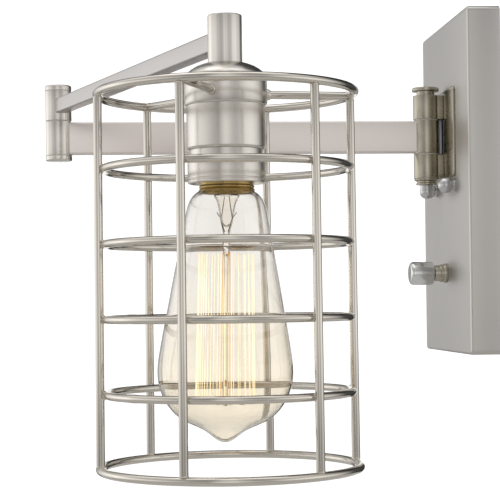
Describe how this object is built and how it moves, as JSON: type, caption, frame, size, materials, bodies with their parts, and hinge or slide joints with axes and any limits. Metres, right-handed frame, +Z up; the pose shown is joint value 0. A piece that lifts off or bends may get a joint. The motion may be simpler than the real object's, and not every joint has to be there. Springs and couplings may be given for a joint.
{
  "type": "swing arm wall sconce",
  "caption": "Wall sconce with a pinned wall hinge, two jointed swing arms, a socket cup and a cylindrical wire cage around a filament bulb.",
  "frame": {"origin": "on the wall plane, behind the middle of the wall pan", "axes": "+Z up, +Y into the wall, the room is on the -Y side, +X along the wall"},
  "size_m": [0.3773, 0.2716, 0.253],
  "materials": {
    "satin_nickel": "satin",
    "polished_chrome": "polished",
    "zinc_steel": "zinc plated",
    "brass": "satin",
    "porcelain": "glazed",
    "nylon": "moulded",
    "wire_jacket": "extruded",
    "clear_glass": "clear",
    "black_glass": "glossy",
    "tungsten": "drawn wire",
    "connector_plastic": "moulded",
    "green_screw": "plated green"
  },
  "bodies": {
    "wall_plate": {"backplate_pan": "satin_nickel", "mounting_bar": "zinc_steel", "mounting_studs": "zinc_steel", "cap_nuts": "polished_chrome", "ground_screw": "green_screw", "hinge_base": "satin_nickel", "hinge_screws": "zinc_steel", "upper_knuckle": "satin_nickel", "lower_knuckle": "satin_nickel", "hinge_pin": "satin_nickel", "hinge_collar": "satin_nickel", "hinge_acorn_nut": "polished_chrome", "hinge_washers": "nylon", "hinge_lead": "wire_jacket", "switch_body": "zinc_steel", "switch_ring_nut": "satin_nickel", "wire_connectors": "connector_plastic", "switch_leads": "wire_jacket"},
    "switch_turn": {"switch_knob": "polished_chrome", "switch_shaft": "zinc_steel"},
    "lower_arm": {"hinge_barrel": "satin_nickel", "arm1_tube": "satin_nickel", "elbow_lower_barrel": "satin_nickel", "elbow_bottom_cap": "satin_nickel", "elbow_washer": "nylon"},
    "upper_arm": {"elbow_upper_barrel": "satin_nickel", "elbow_top_cap": "satin_nickel", "elbow_nipple": "zinc_steel", "elbow_nuts": "zinc_steel", "arm2_tube": "satin_nickel", "lamp_barrel": "satin_nickel", "lamp_nipple": "zinc_steel", "lamp_nuts": "zinc_steel", "cap_dome": "satin_nickel", "upper_cup": "satin_nickel", "lower_cup": "satin_nickel", "porcelain_socket": "porcelain", "screw_shell": "brass", "centre_contact": "brass", "socket_leads": "wire_jacket", "cage_spokes": "satin_nickel", "cage_ring_1": "satin_nickel", "cage_ring_2": "satin_nickel", "cage_ring_3": "satin_nickel", "cage_ring_4": "satin_nickel", "cage_ring_5": "satin_nickel", "cage_ring_6": "satin_nickel", "cage_rod_1": "satin_nickel", "cage_rod_2": "satin_nickel", "cage_rod_3": "satin_nickel", "cage_rod_4": "satin_nickel", "cage_rod_5": "satin_nickel", "cage_rod_6": "satin_nickel"},
    "bulb": {"bulb_glass": "clear_glass", "bulb_base_shell": "brass", "bulb_insulator": "black_glass", "bulb_tip_contact": "brass", "bulb_stem": "clear_glass", "filament_supports": "tungsten", "filament": "tungsten"}
  },
  "joints": [
    {"name": "wall_hinge", "type": "hinge", "parent": "wall_plate", "child": "lower_arm", "pos_m": [0, -0.032, 0.0323], "axis": [0, 0, 1], "range_deg": [-85, 85]},
    {"name": "elbow_hinge", "type": "hinge", "parent": "lower_arm", "child": "upper_arm", "pos_m": [0, -0.2636, 0.043], "axis": [0, 0, -1], "range_deg": [-29, 246]},
    {"name": "switch_knob_turn", "type": "hinge", "parent": "wall_plate", "child": "switch_turn", "pos_m": [0, -0.034, -0.054], "axis": [0, -1, 0], "continuous": true},
    {"name": "bulb_turn", "type": "hinge", "parent": "upper_arm", "child": "bulb", "pos_m": [0.24978, -0.17905, -0.06], "axis": [0, 0, 1], "continuous": true}
  ]
}
